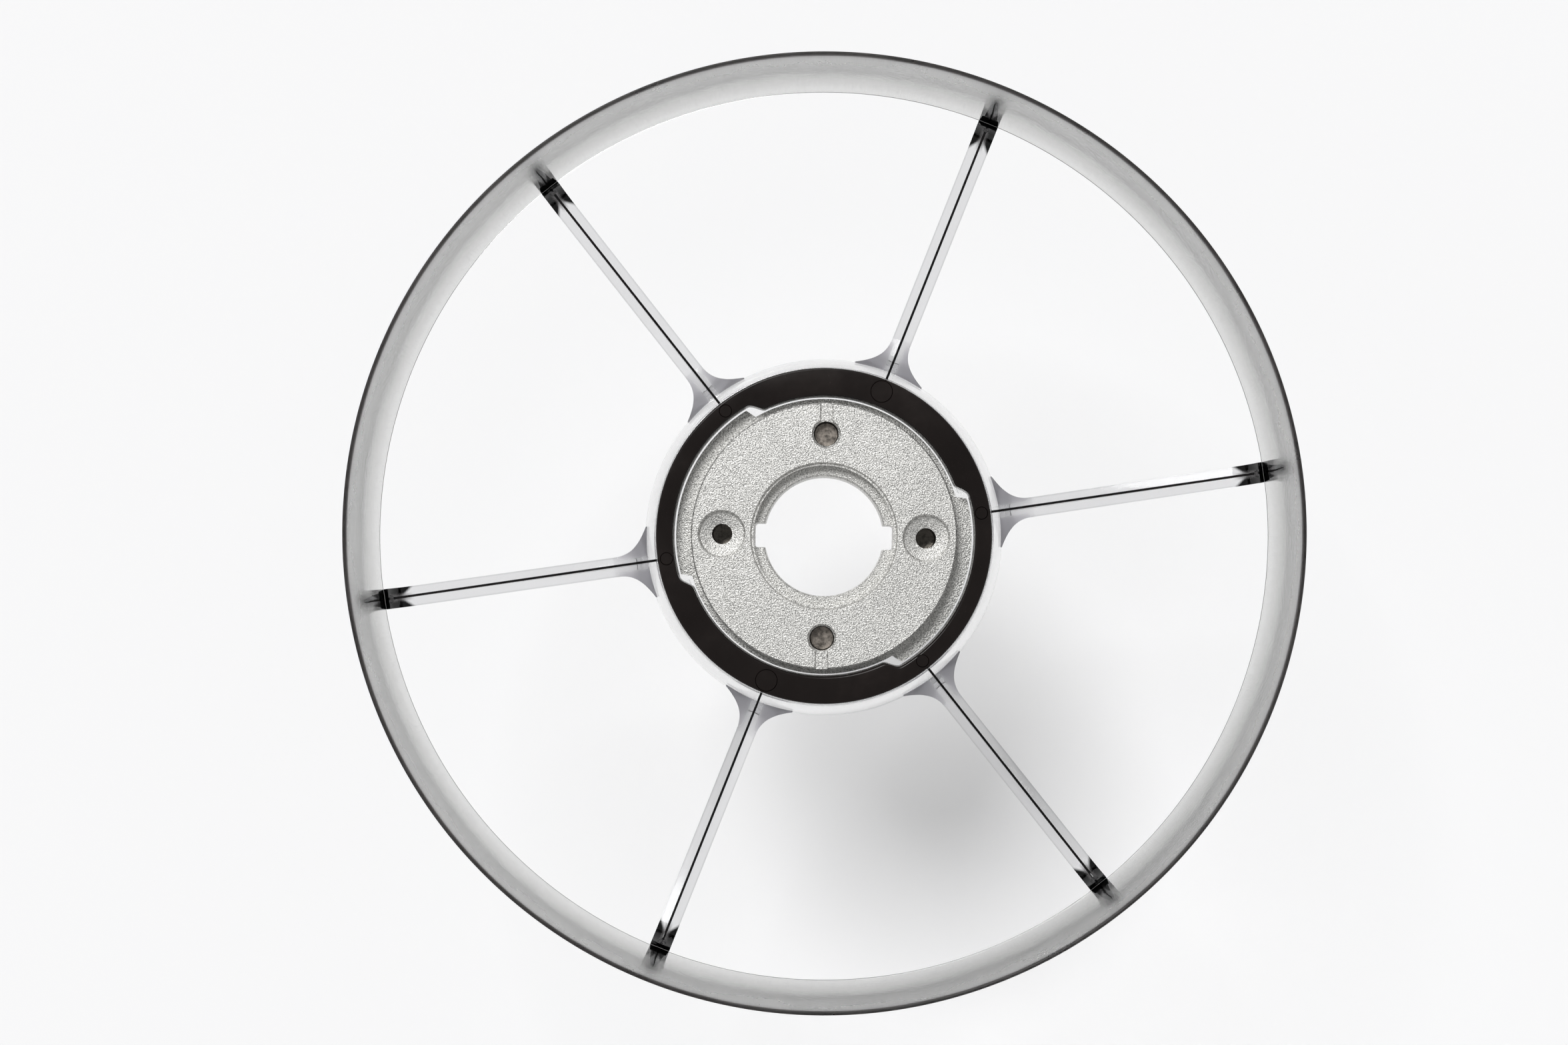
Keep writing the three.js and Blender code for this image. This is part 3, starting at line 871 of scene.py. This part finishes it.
# ------------------------------------------------------------------ hub plate
def plate_mesh():
    """The casting: a flange with two lugs, a raised boss and a spigot, bored, keyed and drilled."""
    outline = []
    for i in range(360):
        angle = 2 * math.pi * i / 360
        out = lobe(angle, math.radians(LUG_CENTRE), LUG_SPAN - 1, LUG_STEP)
        r = DISC_R + (LUG_R - DISC_R) * out
        outline.append((r * math.cos(angle), r * math.sin(angle)))
    plate = prism_mesh("plate", outline, FLANGE_LOW_Z, FLANGE_TOP_Z)
    boss = [
        (0, SPIGOT_LOW_Z),
        (SPIGOT_R - 0.8, SPIGOT_LOW_Z),
        (SPIGOT_R, SPIGOT_LOW_Z + 0.8),
        (SPIGOT_R, FLANGE_LOW_Z + 1),
        (BOSS_R, FLANGE_LOW_Z + 1),
        (BOSS_R, PLATE_TOP_Z - 0.6),
        (BOSS_R - 0.6, PLATE_TOP_Z),
        (0, PLATE_TOP_Z),
    ]
    combine(plate, turned_mesh("boss", boss, 240), "UNION")
    bore = [
        (0, 5),
        (BORE_R + 0.6, 5),
        (BORE_R + 0.6, SPIGOT_LOW_Z),
        (BORE_R, SPIGOT_LOW_Z + 0.6),
        (BORE_R, COUNTERBORE_Z - 0.6),
        (BORE_R + 0.6, COUNTERBORE_Z),
        (COUNTERBORE_R - 1.2, COUNTERBORE_Z),
        (COUNTERBORE_R - 1.2, PLATE_TOP_Z - 1.3),
        (COUNTERBORE_R - 0.5, PLATE_TOP_Z - 1.3),
        (COUNTERBORE_R, PLATE_TOP_Z),
        (COUNTERBORE_R, 40),
        (0, 40),
    ]
    combine(plate, turned_mesh("bore", bore, 240), "DIFFERENCE")
    under = [
        (0, PAD_LOW_Z),
        (PAD_R - 0.8, PAD_LOW_Z),
        (PAD_R, PAD_LOW_Z + 0.8),
        (PAD_R, FLANGE_LOW_Z + 1),
        (0, FLANGE_LOW_Z + 1),
    ]
    for side in (0, 180):
        pad = turned_mesh("pad", under, 96)
        turn_mesh(pad, side, (HOLE_PITCH_R, 0, 0))
        combine(plate, pad, "UNION")
    half = KEYWAY_WIDE / 2
    keyway = [(-KEYWAY_R, -half), (KEYWAY_R, -half), (KEYWAY_R, half), (-KEYWAY_R, half)]
    keyway = rounded(keyway, 1.4, 5)
    combine(plate, prism_mesh("keyway", keyway, 5, COUNTERBORE_Z + 0.5), "DIFFERENCE")
    top = PLATE_TOP_Z
    drilled = [
        (0, top - HOLE_DEPTH),
        (HOLE_R, top - HOLE_DEPTH + 1.8),
        (HOLE_R, top - SINK_DEPTH),
        (SINK_R, top - 1.4),
        (SINK_R + 0.1, top - 0.6),
        (SINK_R + 0.75, top),
        (SINK_R + 0.75, top + 3),
        (0, top + 3),
    ]
    pocket = [
        (0, top - POCKET_DEPTH),
        (POCKET_R, top - POCKET_DEPTH),
        (POCKET_R, top - 0.8),
        (POCKET_R + 0.8, top),
        (POCKET_R + 0.8, top + 3),
        (0, top + 3),
    ]
    for side in (0, 180):
        for profile, extra in ((drilled, 0), (pocket, 90)):
            cutter = turned_mesh("cutter", profile, 96)
            turn_mesh(cutter, side + extra, (HOLE_PITCH_R, 0, 0))
            combine(plate, cutter, "DIFFERENCE")
        groove = groove_mesh(GROOVE_START_R, GROOVE_END_R, top)
        turn_mesh(groove, side + 90)
        combine(plate, groove, "DIFFERENCE")
    soften(plate, 0.12, 1, 35)
    return plate


plate = plate_mesh()
plate.name = "cast_plate"
place(plate, "plate", "die_cast", CAST, "hub_plate")
# The walls deep inside the drilled holes get the painted-shade material.
plate.data.materials.append(HOLE_PAINTED_SHADE_CAST)
for poly in plate.data.polygons:
    at = poly.center / MM
    in_hole = math.hypot(abs(at.x) - HOLE_PITCH_R, at.y) < HOLE_R + 0.15
    if in_hole and HOLE_DEPTH + 0.6 > PLATE_TOP_Z - at.z > SINK_DEPTH + 0.1:
        poly.material_index = 1

for name, turn in (("disc_front", 270), ("disc_back", 90)):
    low = PLATE_TOP_Z - POCKET_DEPTH + GAP
    high = low + DISC_PLUG_THICK
    profile = [
        (0, low),
        (DISC_PLUG_R, low),
        (DISC_PLUG_R, high - 0.2),
        (DISC_PLUG_R - 0.15, high),
        (0, high + 0.02),
    ]
    disc = turned_mesh(name + "_face", profile, 72)
    disc.data.set_sharp_from_angle(angle=math.radians(35))
    turn_mesh(disc, turn, (HOLE_PITCH_R, 0, 0))
    place(disc, "plate", "taupe_disc", TAUPE, name)

# ------------------------------------------------------------------ floor and light
# In metres. The floor lies well below the wheel, so the hub's shadow is soft and clear of the bore.
FLOOR_Z = -0.155
FLOOR_HALF = 18.0
SKY_STRENGTH = 0.70
SUN_ENERGY = 2.3
SUN_ANGLE = math.radians(27)
SUN_DIRECTION = (0.35, -0.66, -1.0)
floor_mesh = bpy.data.meshes.new("floor")
floor_sides = [(-1, -1), (1, -1), (1, 1), (-1, 1)]
floor_corners = [(x * FLOOR_HALF, y * FLOOR_HALF, FLOOR_Z) for x, y in floor_sides]
floor_mesh.from_pydata(floor_corners, [], [(0, 1, 2, 3)])
floor = bpy.data.objects.new("floor", floor_mesh)
bpy.context.scene.collection.objects.link(floor)
floor_mat, floor_nt, floor_out = new_material("floor")
floor_p = floor_nt.nodes.new("ShaderNodeBsdfPrincipled")
floor_p.inputs["Base Color"].default_value = (0.9, 0.9, 0.905, 1)
floor_p.inputs["Roughness"].default_value = 0.9
floor_p.inputs["Specular IOR Level"].default_value = 0.1
floor_nt.links.new(floor_p.outputs["BSDF"], floor_out.inputs["Surface"])
floor_mesh.materials.append(floor_mat)

world = bpy.data.worlds.new("world")
world.use_nodes = True
world_nt = world.node_tree
sky_at = world_nt.nodes.new("ShaderNodeTexCoord")
sky_split = world_nt.nodes.new("ShaderNodeSeparateXYZ")
world_nt.links.new(sky_at.outputs["Generated"], sky_split.inputs[0])
sky = ramp(world_nt, sky_split.outputs["Z"], [(0.0, grey(0.95)), (0.55, grey(0.75)), (1.0, grey(0.48))])
background = world_nt.nodes["Background"]
world_nt.links.new(sky.outputs["Color"], background.inputs["Color"])
background.inputs["Strength"].default_value = SKY_STRENGTH
bpy.context.scene.world = world

key_data = bpy.data.lights.new("key", "SUN")
key_data.energy = SUN_ENERGY
key_data.angle = SUN_ANGLE
key = bpy.data.objects.new("key", key_data)
bpy.context.scene.collection.objects.link(key)
key.rotation_mode = "QUATERNION"
key.rotation_quaternion = Vector(SUN_DIRECTION).to_track_quat("-Z", "Y")

bpy.context.scene.view_settings.view_transform = "Standard"
bpy.context.scene.view_settings.look = "None"
